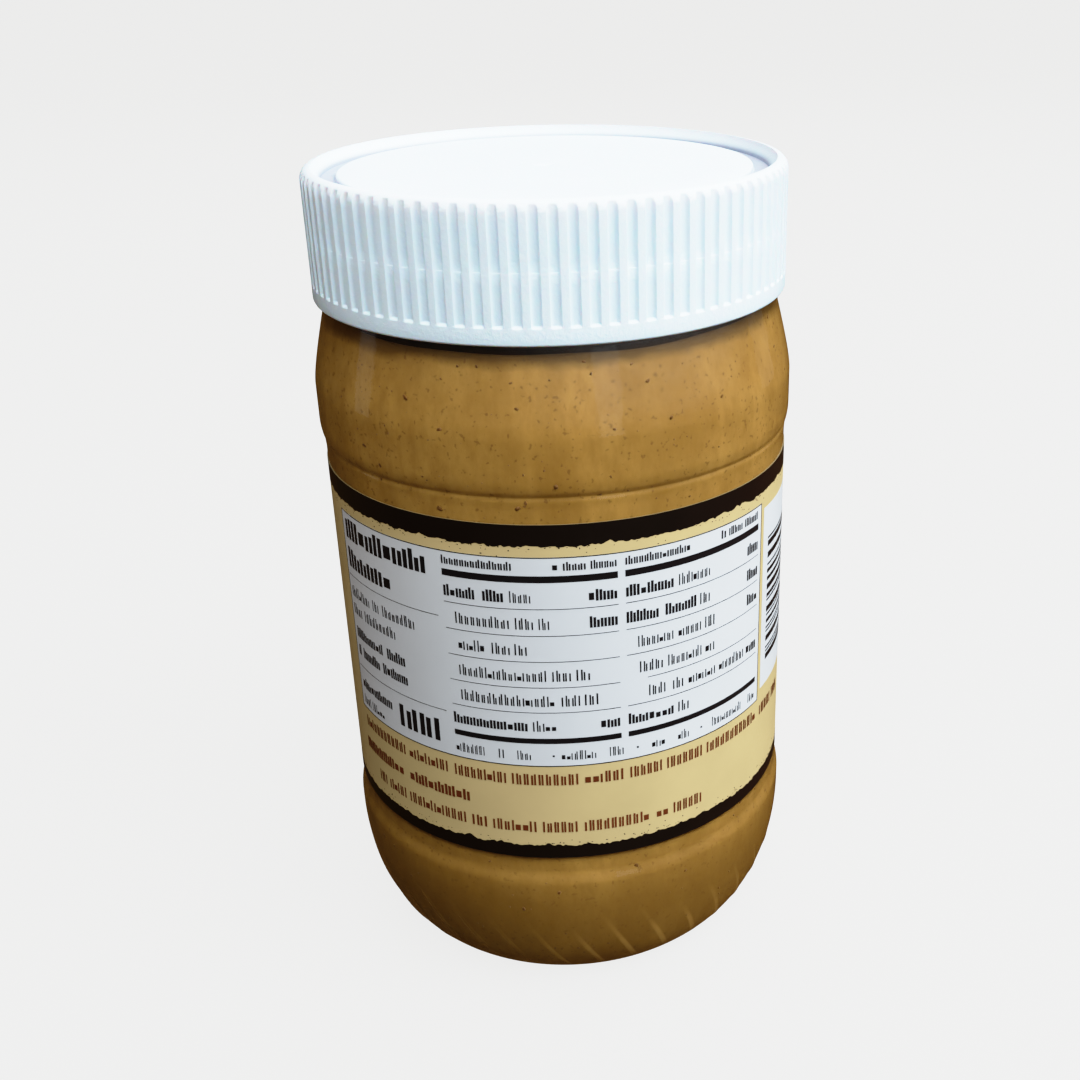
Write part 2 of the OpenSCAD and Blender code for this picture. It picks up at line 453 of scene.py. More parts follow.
def grain_group():
    """Fine grain as a height, and as a roughness that varies round a middle value."""
    tree, start, end = shader_group(
        "Grain",
        [("Scale", "NodeSocketFloat", 900.0), ("Roughness", "NodeSocketFloat", 0.4),
         ("Spread", "NodeSocketFloat", 0.1)],
        [("Height", "NodeSocketFloat"), ("Roughness", "NodeSocketFloat")])
    grain = add_noise(tree, start.outputs["Scale"], 2.0)
    centred = calculate(tree, "SUBTRACT", grain, 0.5)
    varied = calculate(tree, "MULTIPLY_ADD", centred, start.outputs["Spread"], start.outputs["Roughness"])
    tree.links.new(grain, end.inputs["Height"])
    tree.links.new(varied, end.inputs["Roughness"])


def place_group(tree, name, **inputs):
    """A shared effect in a material, with its own input values."""
    return add_node(tree, "Group", inputs, node_tree=bpy.data.node_groups[name])


def add_mottle(tree, first, second, scale, amount):
    """The Mottle effect's colour, between two tones."""
    mottle = place_group(tree, "Mottle", First=first, Second=second, Scale=scale, Amount=amount)
    return mottle.outputs["Color"]


def add_grain(tree, shader, scale, roughness, spread):
    """Feeds the Grain effect's roughness into the shader; gives its height."""
    grain = place_group(tree, "Grain", Scale=scale, Roughness=roughness, Spread=spread)
    tree.links.new(grain.outputs["Roughness"], shader.inputs["Roughness"])
    return grain.outputs["Height"]


def add_ribs(tree, width):
    """The Slant ribs effect's mask, with as many ribs and the same slant as the shell's own."""
    s = bpy.context.scene.jar_sizes
    ribs = place_group(tree, "Slant ribs", Count=s.heel_ribs, Slant=s.rib_slant, Width=width)
    return ribs.outputs["Mask"]


def add_bump(tree, shader, height, strength, distance):
    """Feeds a height through a Bump node into the shader's normal."""
    bump = add_node(tree, "Bump", {"Strength": strength, "Distance": distance, "Height": height})
    tree.links.new(bump.outputs["Normal"], shader.inputs["Normal"])


# ---------------------------------------------------------------- materials

def new_material(name, **constants):
    """A material with one Principled shader, whose constants are set on its own sockets."""
    material = bpy.data.materials.new(name)
    material.use_nodes = True
    shader = material.node_tree.nodes["Principled BSDF"]
    for label, value in constants.items():
        shader.inputs[label.replace("_", " ")].default_value = value
    return material, material.node_tree, shader


def clear_material():
    """Clear glossy moulded plastic, which lets shadow rays straight through to the filling."""
    f = bpy.context.scene.jar_finishes
    material, tree, shader = new_material("Clear plastic", Base_Color=shade(f.plastic), IOR=1.5,
                                          Transmission_Weight=1.0)
    add_grain(tree, shader, 420.0, 0.07, 0.08)
    relief = calculate(tree, "MULTIPLY_ADD", add_ribs(tree, 0.10), 1.5, add_noise(tree, 130.0, 2.0))
    add_bump(tree, shader, relief, 0.35, 0.4 * MM)
    through = add_node(tree, "BsdfTransparent", {})
    rays = add_node(tree, "LightPath", {})
    mix = add_node(tree, "MixShader", {0: rays.outputs["Is Shadow Ray"], 1: shader.outputs["BSDF"],
                                       2: through.outputs["BSDF"]})
    tree.links.new(mix.outputs["Shader"], tree.nodes["Material Output"].inputs["Surface"])
    return material


def filling_material():
    """Smooth peanut butter: cloudy tan under six masks, each of which mixes in a colour of its own.

    The masks are long upright smears, fine dark mottling, small flecks, patchy light streaks behind the
    heel's ribs that are painted highlights of the clear ribs' glints, painted shade that darkens the heel,
    and a greasy upper edge, partly painted shadow of the cap, whose height wanders.
    """
    f = bpy.context.scene.jar_finishes
    material, tree, shader = new_material("Peanut butter", Specular_IOR_Level=0.35)
    up = object_axes(tree)["Z"]
    smears = add_range(tree, add_noise(tree, 95.0, 4.0, 0.6, (1, 1, 0.16)), 0.45, 0.78, 0.0, 0.70)
    mottling = add_range(tree, add_noise(tree, 420.0, 4.0, 0.70, (1, 1, 0.45)), 0.40, 0.66, 0.0, 0.55)
    flecks = add_range(tree, add_noise(tree, 1300.0, 1.0), 0.64, 0.72, 0.0, 0.50)
    # painted highlight: light streaks along the heel's ribs stand in for the glints on the clear ribs
    patchy = add_range(tree, add_noise(tree, 75.0, 2.0), 0.36, 0.60, 0.0, 0.75)
    streaks = calculate(tree, "MULTIPLY", add_ribs(tree, 0.11), patchy)
    # painted shade: the heel is darkened from 30 mm down, less so towards the foot
    below = add_range(tree, up, 20 * MM, 30 * MM, 0.74, 0.0)
    above = add_range(tree, up, 5 * MM, 16 * MM, 0.3, 1.0)
    painted_heel_shade = calculate(tree, "MULTIPLY", below, above)
    # greasy upper edge, partly painted shadow of the overhanging cap: darker just below the filling's edge
    uneven = calculate(tree, "MULTIPLY_ADD", add_noise(tree, 150.0, 4.0), 3.0 * MM, up)
    oily_edge_and_painted_shadow = add_range(tree, uneven, FILL_HIGH[2] - 1.0 * MM, FILL_HIGH[2] + 0.4 * MM, 0.0, 0.80)
    tone = add_mottle(tree, shade(f.peanut), shade(f.peanut_dark), 48.0, 0.85)
    for mask, colour in ((smears, shade(f.peanut, 1.30)),
                         (mottling, shade(f.peanut_dark)),
                         (flecks, shade(f.speck)),
                         (streaks, shade(f.peanut, 2.0, 0.02)),
                         (painted_heel_shade, shade(f.peanut_dark, 0.70)),
                         (oily_edge_and_painted_shadow, shade(f.peanut_dark, 0.40))):
        tone = add_mix(tree, mask, tone, colour)
    tree.links.new(tone, shader.inputs["Base Color"])
    add_grain(tree, shader, 700.0, 0.42, 0.2)
    add_bump(tree, shader, add_noise(tree, 240.0, 3.0), 0.25, 0.5 * MM)
    return material


def oil_and_shade_material():
    """Dark greasy brown, partly painted shade under the cap, cloudy and half matt."""
    f = bpy.context.scene.jar_finishes
    material, tree, shader = new_material("Oily film and painted shade", Specular_IOR_Level=0.15)
    cloud = add_mottle(tree, shade(f.oil_and_shade), shade(f.oil_and_shade, 4), 220.0, 0.9)
    tree.links.new(cloud, shader.inputs["Base Color"])
    add_grain(tree, shader, 500.0, 0.5, 0.15)
    return material


def speck_material():
    """Dark dry peanut skin."""
    f = bpy.context.scene.jar_finishes
    material, tree, shader = new_material("Peanut skin", Roughness=0.6)
    cloud = add_mottle(tree, shade(f.speck), shade(f.speck, 2.2), 900.0, 0.8)
    tree.links.new(cloud, shader.inputs["Base Color"])
    return material


def paper_material(name, tone, second_share, amount=0.5, roughness=0.42, edge_share=None):
    """Satin printed paper: one ink, with a faint cloud of a second tone and a fine tooth.

    The second tone is a share of the first. Where an edge share is given, the paper's top edge, where it
    was cut, takes that share of the tone.
    """
    material, tree, shader = new_material(name, Specular_IOR_Level=0.35)
    shown = add_mottle(tree, shade(tone), shade(tone, second_share), 90.0, amount)
    if edge_share is not None:
        up = object_axes(tree)["Z"]
        at_edge = add_range(tree, up, LABEL_HIGH[2] - 0.04 * MM, LABEL_HIGH[2] - 0.02 * MM)
        shown = add_mix(tree, at_edge, shown, shade(tone, edge_share))
    tree.links.new(shown, shader.inputs["Base Color"])
    tooth = add_grain(tree, shader, 1600.0, roughness, 0.15)
    add_bump(tree, shader, tooth, 0.08, 0.1 * MM)
    return material


def cap_material():
    """Satin white moulded plastic with a fine grain, greyed by painted shade in the ring-shaped groove.

    The painted shade lies between two distances from the axis, and only below a height near the top.
    """
    f = bpy.context.scene.jar_finishes
    s = bpy.context.scene.jar_cap
    material, tree, shader = new_material("Cap plastic", Specular_IOR_Level=0.45, Subsurface_Weight=0.25,
                                          Subsurface_Scale=0.004)
    cloud = add_mottle(tree, shade(f.cap), shade(f.cap, 0.95), 120.0, 0.6)
    flat = add_node(tree, "VectorMath", {0: object_point(tree), 1: (1, 1, 0)}, operation="MULTIPLY")
    distance = add_node(tree, "VectorMath", {0: flat.outputs[0]}, operation="LENGTH").outputs["Value"]
    crest = CAP_HIGH[0] - s.rim_round
    groove = crest - s.rim_slope
    disc = groove - s.groove
    # painted shade: grey in the groove, where the rim's inner wall and the disc's edge cast shadow
    inner = add_range(tree, distance, disc - 0.1 * MM, disc + 0.5 * MM)
    outer = add_range(tree, distance, groove + 0.1 * MM, crest - 0.3 * MM, 1.0, 0.0)
    up = object_axes(tree)["Z"]
    deep = add_range(tree, up, CAP_HIGH[2] - 1.0 * MM, CAP_HIGH[2] - 1.7 * MM, 0.0, 0.75)
    painted_groove_shade = calculate(tree, "MULTIPLY", calculate(tree, "MULTIPLY", inner, outer), deep)
    tree.links.new(add_mix(tree, painted_groove_shade, cloud, shade(f.painted_groove_shade)), shader.inputs["Base Color"])
    grain = add_grain(tree, shader, 1700.0, 0.36, 0.16)
    add_bump(tree, shader, grain, 0.45, 0.15 * MM)
    return material


# ---------------------------------------------------------------- the jar and what is in it

class JAR_OT_groups(bpy.types.Operator):
    """Make the shader groups that several finishes share"""
    bl_idname = "jar.make_groups"
    bl_label = "Shared finishes"

    def execute(self, context):
        slant_ribs_group()
        mottle_group()
        grain_group()
        return {"FINISHED"}


def shell_mesh():
    """The shell's outline carried round the axis.

    It runs up the outside, over the rounded lip and down the inside, which lies one wall thickness in and
    has half as many points. The relief is taken off the outside only.
    """
    s = bpy.context.scene.jar_sizes
    top = JAR_HIGH[2]
    outside = jar_outline(0, 0)
    lip = ellipse_arc((s.neck_radius - s.lip, top - s.lip), s.lip, s.lip, 0, 90, 4)
    inner_top = np.array([[s.neck_radius - s.wall, top]])
    inside = jar_outline(s.wall, s.base)[::-2]
    angles = turns(468)
    radius, height = carried_round(np.concatenate([outside, lip, inner_top, inside]), angles)
    outer = len(outside)
    radius[:outer] -= wall_relief(angles, height[:outer])
    return revolve("clear_shell", radius, height, angles, 40)


class JAR_OT_shell(bpy.types.Operator):
    """Make the clear shell: outer wall with its fine groove and ribs, rounded lip and even inner wall"""
    bl_idname = "jar.make_shell"
    bl_label = "Clear shell"

    def execute(self, context):
        shell = new_piece(shell_mesh(), clear_material())
        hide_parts("jar")
        return {"FINISHED"}


def side_radius(height, inset, lift):
    """Radius of the jar's side at a height above the foot, moved in by inset and lift."""
    outline = jar_outline(inset, lift)
    side = outline[np.argmin(outline[:, 1]):]
    return np.interp(height, side[:, 1], side[:, 0])


def filling_radius(height):
    """Radius of the filling's side at a height above the foot, just inside the wall."""
    s = bpy.context.scene.jar_sizes
    return side_radius(height, s.wall - s.filling_reach, s.base - s.filling_reach) - seam_groove(height)


def filling_level(angle):
    """Height of the filling's edge round the wall: low at the front, higher at both sides, and uneven."""
    from_front = np.abs((angle - FRONT + math.pi) % (2 * math.pi) - math.pi)
    side = smooth(math.radians(28), math.radians(75), from_front)
    wobble = waves(angle, 0, 5, 6, 14, 1)
    return FILL_HIGH[2] + (0.82 * side - 0.32 + 0.14 * wobble) * MM


def filling_mesh():
    """The filling's outline carried round the axis, stretched up to its uneven level, and a dished top.

    The side lies just inside the wall. Over its last 9 mm each point moves by its share of the way from
    the flat level to the uneven one, and the side draws back in soft waves. The top's rings shrink to the
    axis; they sink by 1 less the fourth power of their share of the radius, and by a two-armed swirl.
    """
    s = bpy.context.scene.jar_sizes
    angles = turns(360)
    level = filling_level(angles)
    flat_level = FILL_HIGH[2]
    stretch_from = flat_level - 9 * MM
    outline = jar_outline(s.wall - s.filling_reach, s.base - s.filling_reach)
    side = outline[outline[:, 1] < flat_level - 0.3 * MM]
    side = np.concatenate([side, [[filling_radius(flat_level), flat_level]]])
    plain, flat = carried_round(side, angles)
    share = np.clip((flat - stretch_from) / (flat_level - stretch_from), 0, None)
    height = np.where(share > 0, stretch_from + share * (level - stretch_from), flat)
    radius = np.where(flat > s.heel_height, filling_radius(height), plain)
    radius = radius - 0.06 * MM * (0.5 + 0.5 * waves(angles, height, 23, 12, 16, 420)) * (share > 0)
    inward = np.linspace(0.985, 0.03, 26)[:, None]
    dish, swirl = 1.6, 0.7
    sink = (dish * (1 - inward ** 4) + swirl * np.sin(9 * inward + 2 * angles) * (1 - inward)) * MM
    radius = np.concatenate([radius, radius[-1] * inward])
    height = np.concatenate([height, height[-1] - sink])
    return revolve("filling", radius, height, angles, 50)


class JAR_OT_filling(bpy.types.Operator):
    """Make the peanut butter, which reaches just into the wall, with its uneven upper edge"""
    bl_idname = "jar.make_filling"
    bl_label = "Peanut butter"

    def execute(self, context):
        filling = new_piece(filling_mesh(), filling_material())
        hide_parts("peanut_butter")
        return {"FINISHED"}


def oil_and_shade_film_mesh():
    """A thin dark band, partly greasy film and partly painted shade under the cap, that follows the neck's
    inner wall, from just below the filling's edge up into the cap.

    Its outside runs up just inside the plastic, behind the filling's side, and its inside runs down again.
    """
    s = bpy.context.scene.jar_sizes
    angles = turns(360)
    low = filling_level(angles) - 0.35 * MM
    high = JAR_HIGH[2] - 9 * MM
    height = low + np.linspace(0, 1, 15)[:, None] * (high - low)
    inner_wall = side_radius(height, s.wall, s.base)
    outside = inner_wall + 0.19 * MM
    inside = inner_wall - 0.12 * MM
    radius = np.concatenate([outside, inside[::-1]])
    points = round_axis(radius, angles, np.concatenate([height, height[::-1]]))
    return mesh_from("oil_and_shade_film", points, ring_faces(len(points), len(angles), closed=True), 50)


class JAR_OT_oil_and_shade_film(bpy.types.Operator):
    """Make the dark film inside the neck, above the filling's edge: a greasy film that the filling left,
    and painted shade under the cap
    """
    bl_idname = "jar.make_oil_film"
    bl_label = "Oily film and painted shade"

    def execute(self, context):
        film = new_piece(oil_and_shade_film_mesh(), oil_and_shade_material())
        return {"FINISHED"}


def ball():
    """Points and faces of a ball of twenty triangles and radius 1: an icosahedron."""
    golden = (1 + math.sqrt(5)) / 2
    points = np.array([(-1, golden, 0), (1, golden, 0), (-1, -golden, 0), (1, -golden, 0),
                       (0, -1, golden), (0, 1, golden), (0, -1, -golden), (0, 1, -golden),
                       (golden, 0, -1), (golden, 0, 1), (-golden, 0, -1), (-golden, 0, 1)], dtype=float)
    faces = np.array([(0, 11, 5), (0, 5, 1), (0, 1, 7), (0, 7, 10), (0, 10, 11), (1, 5, 9), (5, 11, 4),
                      (11, 10, 2), (10, 7, 6), (7, 1, 8), (3, 9, 4), (3, 4, 2), (3, 2, 6), (3, 6, 8),
                      (3, 8, 9), (4, 9, 5), (2, 4, 11), (6, 2, 10), (8, 6, 7), (9, 8, 1)])
    return points / np.linalg.norm(points[0]), faces


def specks_mesh():
    """Balls pressed flat on the filling's side, in the two stretches that the label leaves bare.

    Each ball's points are jittered and scaled by its size, then set along the way out of the jar, a long
    way at a random tilt, and a short way across that; its depth is 0.35 of its size, its length 1.25 and
    its width 0.8.
    """
    random = np.random.default_rng(41)
    count = bpy.context.scene.jar_sizes.specks
    upper = random.random(count) < 0.62
    height = np.where(upper, random.uniform(85.5, 108, count), random.uniform(9, 29, count)) * MM
    angle = random.uniform(0, 2 * math.pi, count)
    size = random.gamma(2.2, 0.071, count).clip(0.07, 0.42) * MM
    tilt = random.uniform(0, math.pi, count)[:, None]
    shape, faces = ball()
    jitter = random.uniform(0.75, 1.25, (count, len(shape), 1))
    local = shape * jitter * size[:, None, None]
    out = round_axis(1.0, angle, 0.0)
    up = np.array([[0, 0, 1.0]])
    across = np.cross(up, out)
    long_way = np.cos(tilt) * across + np.sin(tilt) * up
    short_way = -np.sin(tilt) * across + np.cos(tilt) * up
    points = (out[:, None] * (filling_radius(height)[:, None, None] + local[..., :1] * 0.35)
              + long_way[:, None] * local[..., 1:2] * 1.25
              + short_way[:, None] * local[..., 2:] * 0.8)
    points[..., 2] += height[:, None]
    index = (np.arange(count)[:, None, None] * len(shape) + faces).reshape(-1, 3)
    return mesh_from("skin_specks", points, index.tolist())


class JAR_OT_specks(bpy.types.Operator):
    """Scatter flat specks of peanut skin over the filling where it shows"""
    bl_idname = "jar.make_specks"
    bl_label = "Specks"

    def execute(self, context):
        specks = new_piece(specks_mesh(), speck_material())
        return {"FINISHED"}


# ---------------------------------------------------------------- the label and its print

# The print's places, in millimetres along the label from the panel's middle and up from the foot.
PANEL = (-41.6, 35.9, 45.8, 80.45)                  # left, right, low, high
COLUMNS = ((-18.0, 7.7), (8.8, 34.85))
RULES = (72.3, 68.0, 63.75, 59.45, 55.2)
INDENT = 3.2                                        # of the second column's fourth rule
SIDE_COLUMN = (-41.0, -19.2)
SIDE_RULES = (69.7, 53.6)
THICK_BARS = ((76.5, 77.55), (49.85, 50.75))
DOTS = (-2.6, 10.2, 21.4)
FRAME_LINE = 0.16
HALF_RULE = 0.05

# Weights of greeked print: pitch, tall mark, low mark, share of a place that a post takes, seed.
PRINT_STYLES = {
    "title": (2.2, 3.4, 2.65, 0.37, 21),
    "figure": (2.87, 3.9, 3.9, 0.32, 22),
    "bold": (1.03, 1.85, 1.42, 0.37, 23),
    "text": (0.88, 1.85, 1.38, 0.24, 24),
    "head": (0.80, 1.35, 1.02, 0.32, 25),
    "small": (0.72, 1.60, 1.15, 0.22, 26),
    "brown": (1.12, 1.95, 1.95, 0.27, 27),
    "brown_bold": (1.36, 1.95, 1.95, 0.36, 28),
}

# Greeked lines: the style, the height of the base, and where each word starts and ends.
PANEL_LINES = (
    ("title", 76.1, ((-40.5, -20.7),)),
    ("title", 71.2, ((-40.5, -28.0),)),
    ("text", 66.1, ((-40.6, -34.6), (-33.6, -32.0), (-31.0, -23.9))),
    ("text", 63.0, ((-40.6, -37.6), (-36.6, -28.3))),
    ("bold", 58.9, ((-40.5, -32.0), (-30.9, -26.6))),
    ("bold", 55.7, ((-40.5, -39.6), (-38.7, -33.3), (-32.4, -26.4))),
    ("bold", 49.7, ((-40.5, -30.9),)),
    ("small", 46.7, ((-40.5, -38.0), (-37.4, -33.5))),
    ("figure", 47.8, ((-29.2, -20.6),)),
    ("head", 78.35, ((-18.0, -7.3), (-1.7, -0.7), (-0.1, 3.2), (3.8, 7.6),
                     (8.8, 19.3), (25.2, 26.3), (26.9, 30.2), (30.8, 34.6))),
    ("bold", 73.3, ((-18.0, -13.0), (-11.9, -8.7), (3.3, 7.6), (8.8, 16.4), (31.6, 34.8))),
    ("text", 73.3, ((-7.9, -4.8), (17.2, 23.0))),
    ("text", 69.05, ((-16.4, -8.1), (-7.3, -4.6), (-3.9, -2.3), (21.0, 23.0))),
    ("bold", 69.05, ((3.4, 7.6), (8.8, 13.9), (14.9, 20.4), (31.6, 34.8))),
    ("text", 64.8, ((-16.3, -12.0), (-11.0, -8.2), (-7.6, -5.7), (10.5, 16.3), (17.0, 21.3), (22.0, 24.0))),
    ("bold", 64.8, ((31.7, 34.8),)),
    ("text", 60.5, ((-16.4, -3.1), (-2.3, 0.5), (1.2, 3.3), (10.7, 14.5), (15.3, 21.4), (22.0, 24.0))),
    ("text", 56.25, ((-16.4, -2.0), (-1.1, 1.7), (2.3, 4.4), (12.1, 14.9), (16.1, 18.0), (18.8, 24.2),
                     (24.9, 31.0))),
    ("bold", 56.25, ((31.6, 34.7),)),
    ("bold", 52.0, ((-18.0, -6.2), (4.5, 7.6), (8.8, 16.3))),
    ("text", 52.0, ((-5.5, -1.9), (17.0, 19.0))),
    ("small", 46.95, ((-18.0, -13.2), (-11.0, -10.1), (-8.1, -6.0), (-1.5, 3.8), (5.8, 8.0), (12.4, 14.8),
                      (16.9, 19.0), (23.6, 30.5), (32.6, 34.6))),
)
BROWN_LINES = (
    ("brown", 42.5, ((-40.5, -28.6), (-27.8, -19.8), (-18.6, -10.0), (-9.2, 1.0), (1.8, 7.9),
                     (8.9, 14.2), (15.0, 21.6), (22.5, 35.3), (36.8, 41.8), (42.8, 46.5))),
    ("brown_bold", 38.1, ((-41.3, -29.5), (-28.2, -16.2))),
    ("brown", 33.85, ((-37.2, -34.9), (-34.0, -29.5), (-28.6, -17.2), (-16.2, -13.6), (-12.7, -5.7),
                      (-4.8, 0.6), (1.6, 12.0), (13.0, 15.3), (16.1, 21.5))),
)


def lap_rise(along):
    """How far the label's last stretch stands off the wall, where it lies over its own first stretch."""
    s = bpy.context.scene.jar_label
    start = math.pi * (panel_radius() + s.thickness) - s.lap / 2
    return s.thickness * smooth(start - 1.2 * MM, start, along)


def on_label(along, height, lift):
    """Points on the label: along is the distance round from the panel's middle, lift the way outwards."""
    outer = panel_radius() + bpy.context.scene.jar_label.thickness
    angle = FRONT + along / outer
    return round_axis(outer + lap_rise(along) + lift, angle, height)


def thin_block(rows, columns, first):
    """Faces of a closed thin sheet over a grid: its front, its back, and the rim that joins them."""
    front = np.arange(rows * columns).reshape(rows, columns) + first
    behind = rows * columns
    corners = (front[:-1, :-1], front[:-1, 1:], front[1:, 1:], front[1:, :-1])
    quads = np.stack(corners, axis=-1).reshape(-1, 4)
    loop = np.concatenate([front[0, :-1], front[:-1, -1], front[-1, :0:-1], front[:0:-1, 0]])
    after = np.roll(loop, -1)
    rim = np.stack([after, loop, loop + behind, after + behind], axis=-1)
    return np.concatenate([quads, quads[:, ::-1] + behind, rim]).tolist()


def label_sheet_mesh():
    """A strip that goes once round and laps over itself: its last stretch rises by its thickness."""
    s = bpy.context.scene.jar_label
    reach = math.pi * (panel_radius() + s.thickness) + s.lap / 2
    along = np.linspace(-reach, reach, 480)[None]
    height = np.array([[LABEL_LOW[2]], [LABEL_HIGH[2]]])
    along, height = np.broadcast_arrays(along, height)
    points = np.concatenate([on_label(along, height, 0).reshape(-1, 3),
                             on_label(along, height, -s.thickness).reshape(-1, 3)])
    return mesh_from("label_sheet", points, thin_block(2, along.shape[1], 0), 30)


class Ink:
    """Collects flat patches of one ink on the label, and makes them one piece of thin closed blocks."""

    def __init__(self, name, layer):
        self.name = name
        self.lift = layer * 1.2 * bpy.context.scene.jar_label.ink
        self.points = []
        self.faces = []
        self.count = 0

    def patch(self, along, height):
        """A patch over a grid of places, in millimetres along the label and up from the foot."""
        along, height = np.broadcast_arrays(along, height)
        rows, columns = along.shape
        front = on_label(along * MM, height * MM, self.lift)
        back = on_label(along * MM, height * MM, self.lift - bpy.context.scene.jar_label.ink)
        self.points += [front.reshape(-1, 3), back.reshape(-1, 3)]
        self.faces += thin_block(rows, columns, self.count)
        self.count += 2 * rows * columns

    def strip(self, along, low, high):
        """A band between two edges, given as heights at the same distances along the label."""
        self.patch(np.asarray(along)[None], np.stack(np.broadcast_arrays(along, low, high)[1:]))

    def bar(self, start, end, low, high):
        """A rectangle, cut across every 1.5 mm so that it bends with the wall."""
        pieces = max(1, math.ceil((end - start) / 1.5))
        self.strip(np.linspace(start, end, pieces + 1), low, high)

    def rule(self, start, end, height):
        """A hairline at one height."""
        self.bar(start, end, height - HALF_RULE, height + HALF_RULE)

    def outline(self, start, end, low, high, width):
        """Four thin bars round a rectangle, inside its edges."""
        self.bar(start, end, high - width, high)
        self.bar(start, end, low, low + width)
        self.bar(start, start + width, low + width, high - width)
        self.bar(end - width, end, low + width, high - width)

    def blob(self, centre, half_width, half_height, waist=0.0):
        """A filled oval, cut finely so that it bends with the wall; waist draws in its middle."""
        angle = np.radians(np.linspace(-86, 86, 56))
        drawn_in = 1 - waist * np.exp(-(np.sin(angle) / 0.30) ** 2)
        half = half_width * drawn_in * np.cos(angle)
        share = np.linspace(-1, 1, max(10, math.ceil(half_width / 0.35)))
        self.patch(centre[0] + half[:, None] * share, (centre[1] + half_height * np.sin(angle))[:, None])

    def ring(self, centre, half_width, half_height, width):
        """An oval line of one width: two ovals, one inside the other, joined by a strip."""
        angle = np.linspace(0, 2 * math.pi, 241)[None]
        inward = np.array([[0.0], [width]])
        self.patch(centre[0] + (half_width - inward) * np.cos(angle),
                   centre[1] - (half_height - inward) * np.sin(angle))

    def finish(self, material):
        """Makes the piece, with crisp rims, and lets it ride with the jar."""
        piece = new_piece(mesh_from(self.name, np.concatenate(self.points), self.faces, 30), material)


class PrintStyle:
    """One weight of greeked print: its pitch, its heights and how much of each place is ink."""

    def __init__(self, pitch, tall, low, stem, seed):
        self.pitch = pitch
        self.tall = tall
        self.low = low
        self.stem = stem
        self.random = np.random.default_rng(seed)

    def marks(self):
        """Rectangles in a unit square: two posts of uneven height, or one low block."""
        stem = self.stem
        if self.random.random() < 0.86:
            posts = [(0.05, 0.05 + stem, 0, 1), (0.93 - stem, 0.93, 0, self.random.uniform(0.78, 1))]
            if self.random.random() < 0.5:
                return posts
            return [(0.98 - right, 0.98 - left, low, high) for left, right, low, high in posts]
        return [(0.14, 0.84, 0.10, 0.34 + stem)]

    def word(self, ink, start, end, base):
        """A word-long run of marks, the first one tall and the others mostly low."""
        count = max(1, round((end - start) / self.pitch))
        step = (end - start) / count
        for i in range(count):
            tall = i == 0 or self.random.random() < 0.28
            height = self.tall if tall else self.low
            for left, right, low, high in self.marks():
                ink.bar(start + (i + left) * step, start + (i + right) * step,
                        base + low * height, base + high * height)


def print_lines(ink, styles, lines):
    """Greeked lines in one ink, word by word."""
    for style, base, words in lines:
        for start, end in words:
            styles[style].word(ink, start, end, base)


def print_panel(white, black, styles):
    """The ruled panel: white ground, thin frame, thick bars, rules, greeked lines and three dots."""
    left, right, low, high = PANEL
    white.bar(left, right, low, high)
    black.outline(left, right, low, high, FRAME_LINE)
    for start, end in COLUMNS:
        for bar_low, bar_high in THICK_BARS:
            black.bar(start, end, bar_low, bar_high)
        for height in RULES:
            indent = INDENT if start > 0 and height == RULES[3] else 0
            black.rule(start + indent, end, height)
    for height in SIDE_RULES:
        black.rule(*SIDE_COLUMN, height)
    print_lines(black, styles, PANEL_LINES)
    for dot in DOTS:
        black.bar(dot - 0.16, dot + 0.16, 47.55, 47.85)


def print_ladder(white, black):
    """A white block with a ladder of bars across it, of random widths that say nothing."""
    white.bar(36.9, 60.5, 47.4, 79.2)
    random = np.random.default_rng(3)
    unit = 0.33
    height = 51.9
    while height < 74.0:
        thick = unit * random.integers(1, 4)
        black.bar(38.8, 57.5, height, min(height + thick, 74.4))
        height += thick + unit * random.integers(1, 4)


def print_front(dark, pale, brown, styles):
    """The side away from the panel: a dark oval with a pale line, three nuts and two greeked lines."""
    middle = math.pi * (panel_radius() / MM + 0.1)
    level = 62
    dark.blob((middle, level), 25, 15.5)
    pale.ring((middle, level), 23.9, 14.4, 0.45)
    for offset in (-9.5, 0, 9.5):
        pale.blob((middle + offset, level), 3.3, 8.4, waist=0.30)
        brown.blob((middle + offset, level), 2.5, 7.4, waist=0.30)
    for base, half in ((42.2, 15.0), (38.2, 9.0)):
        styles["brown_bold"].word(brown, middle - half, middle + half, base)


def torn_edge(along, seed, depth):
    """A torn paper edge: random steps at three sizes, and now and then a deeper bite."""
    random = np.random.default_rng(seed)
    span = along[-1] - along[0]
    total = np.zeros(len(along))
    for size, share in ((6.0, 0.45), (1.4, 0.45), (0.4, 0.55)):
        knots = int(span / size)
        values = random.uniform(-1, 1, knots)
        values[-1] = values[0]
        total += share * np.interp(along, np.linspace(along[0], along[-1], knots), values)
    bites = random.random(int(span / 0.9)) ** 14
    total += 1.3 * np.interp(along, np.linspace(along[0], along[-1], len(bites)), bites)
    return total * depth


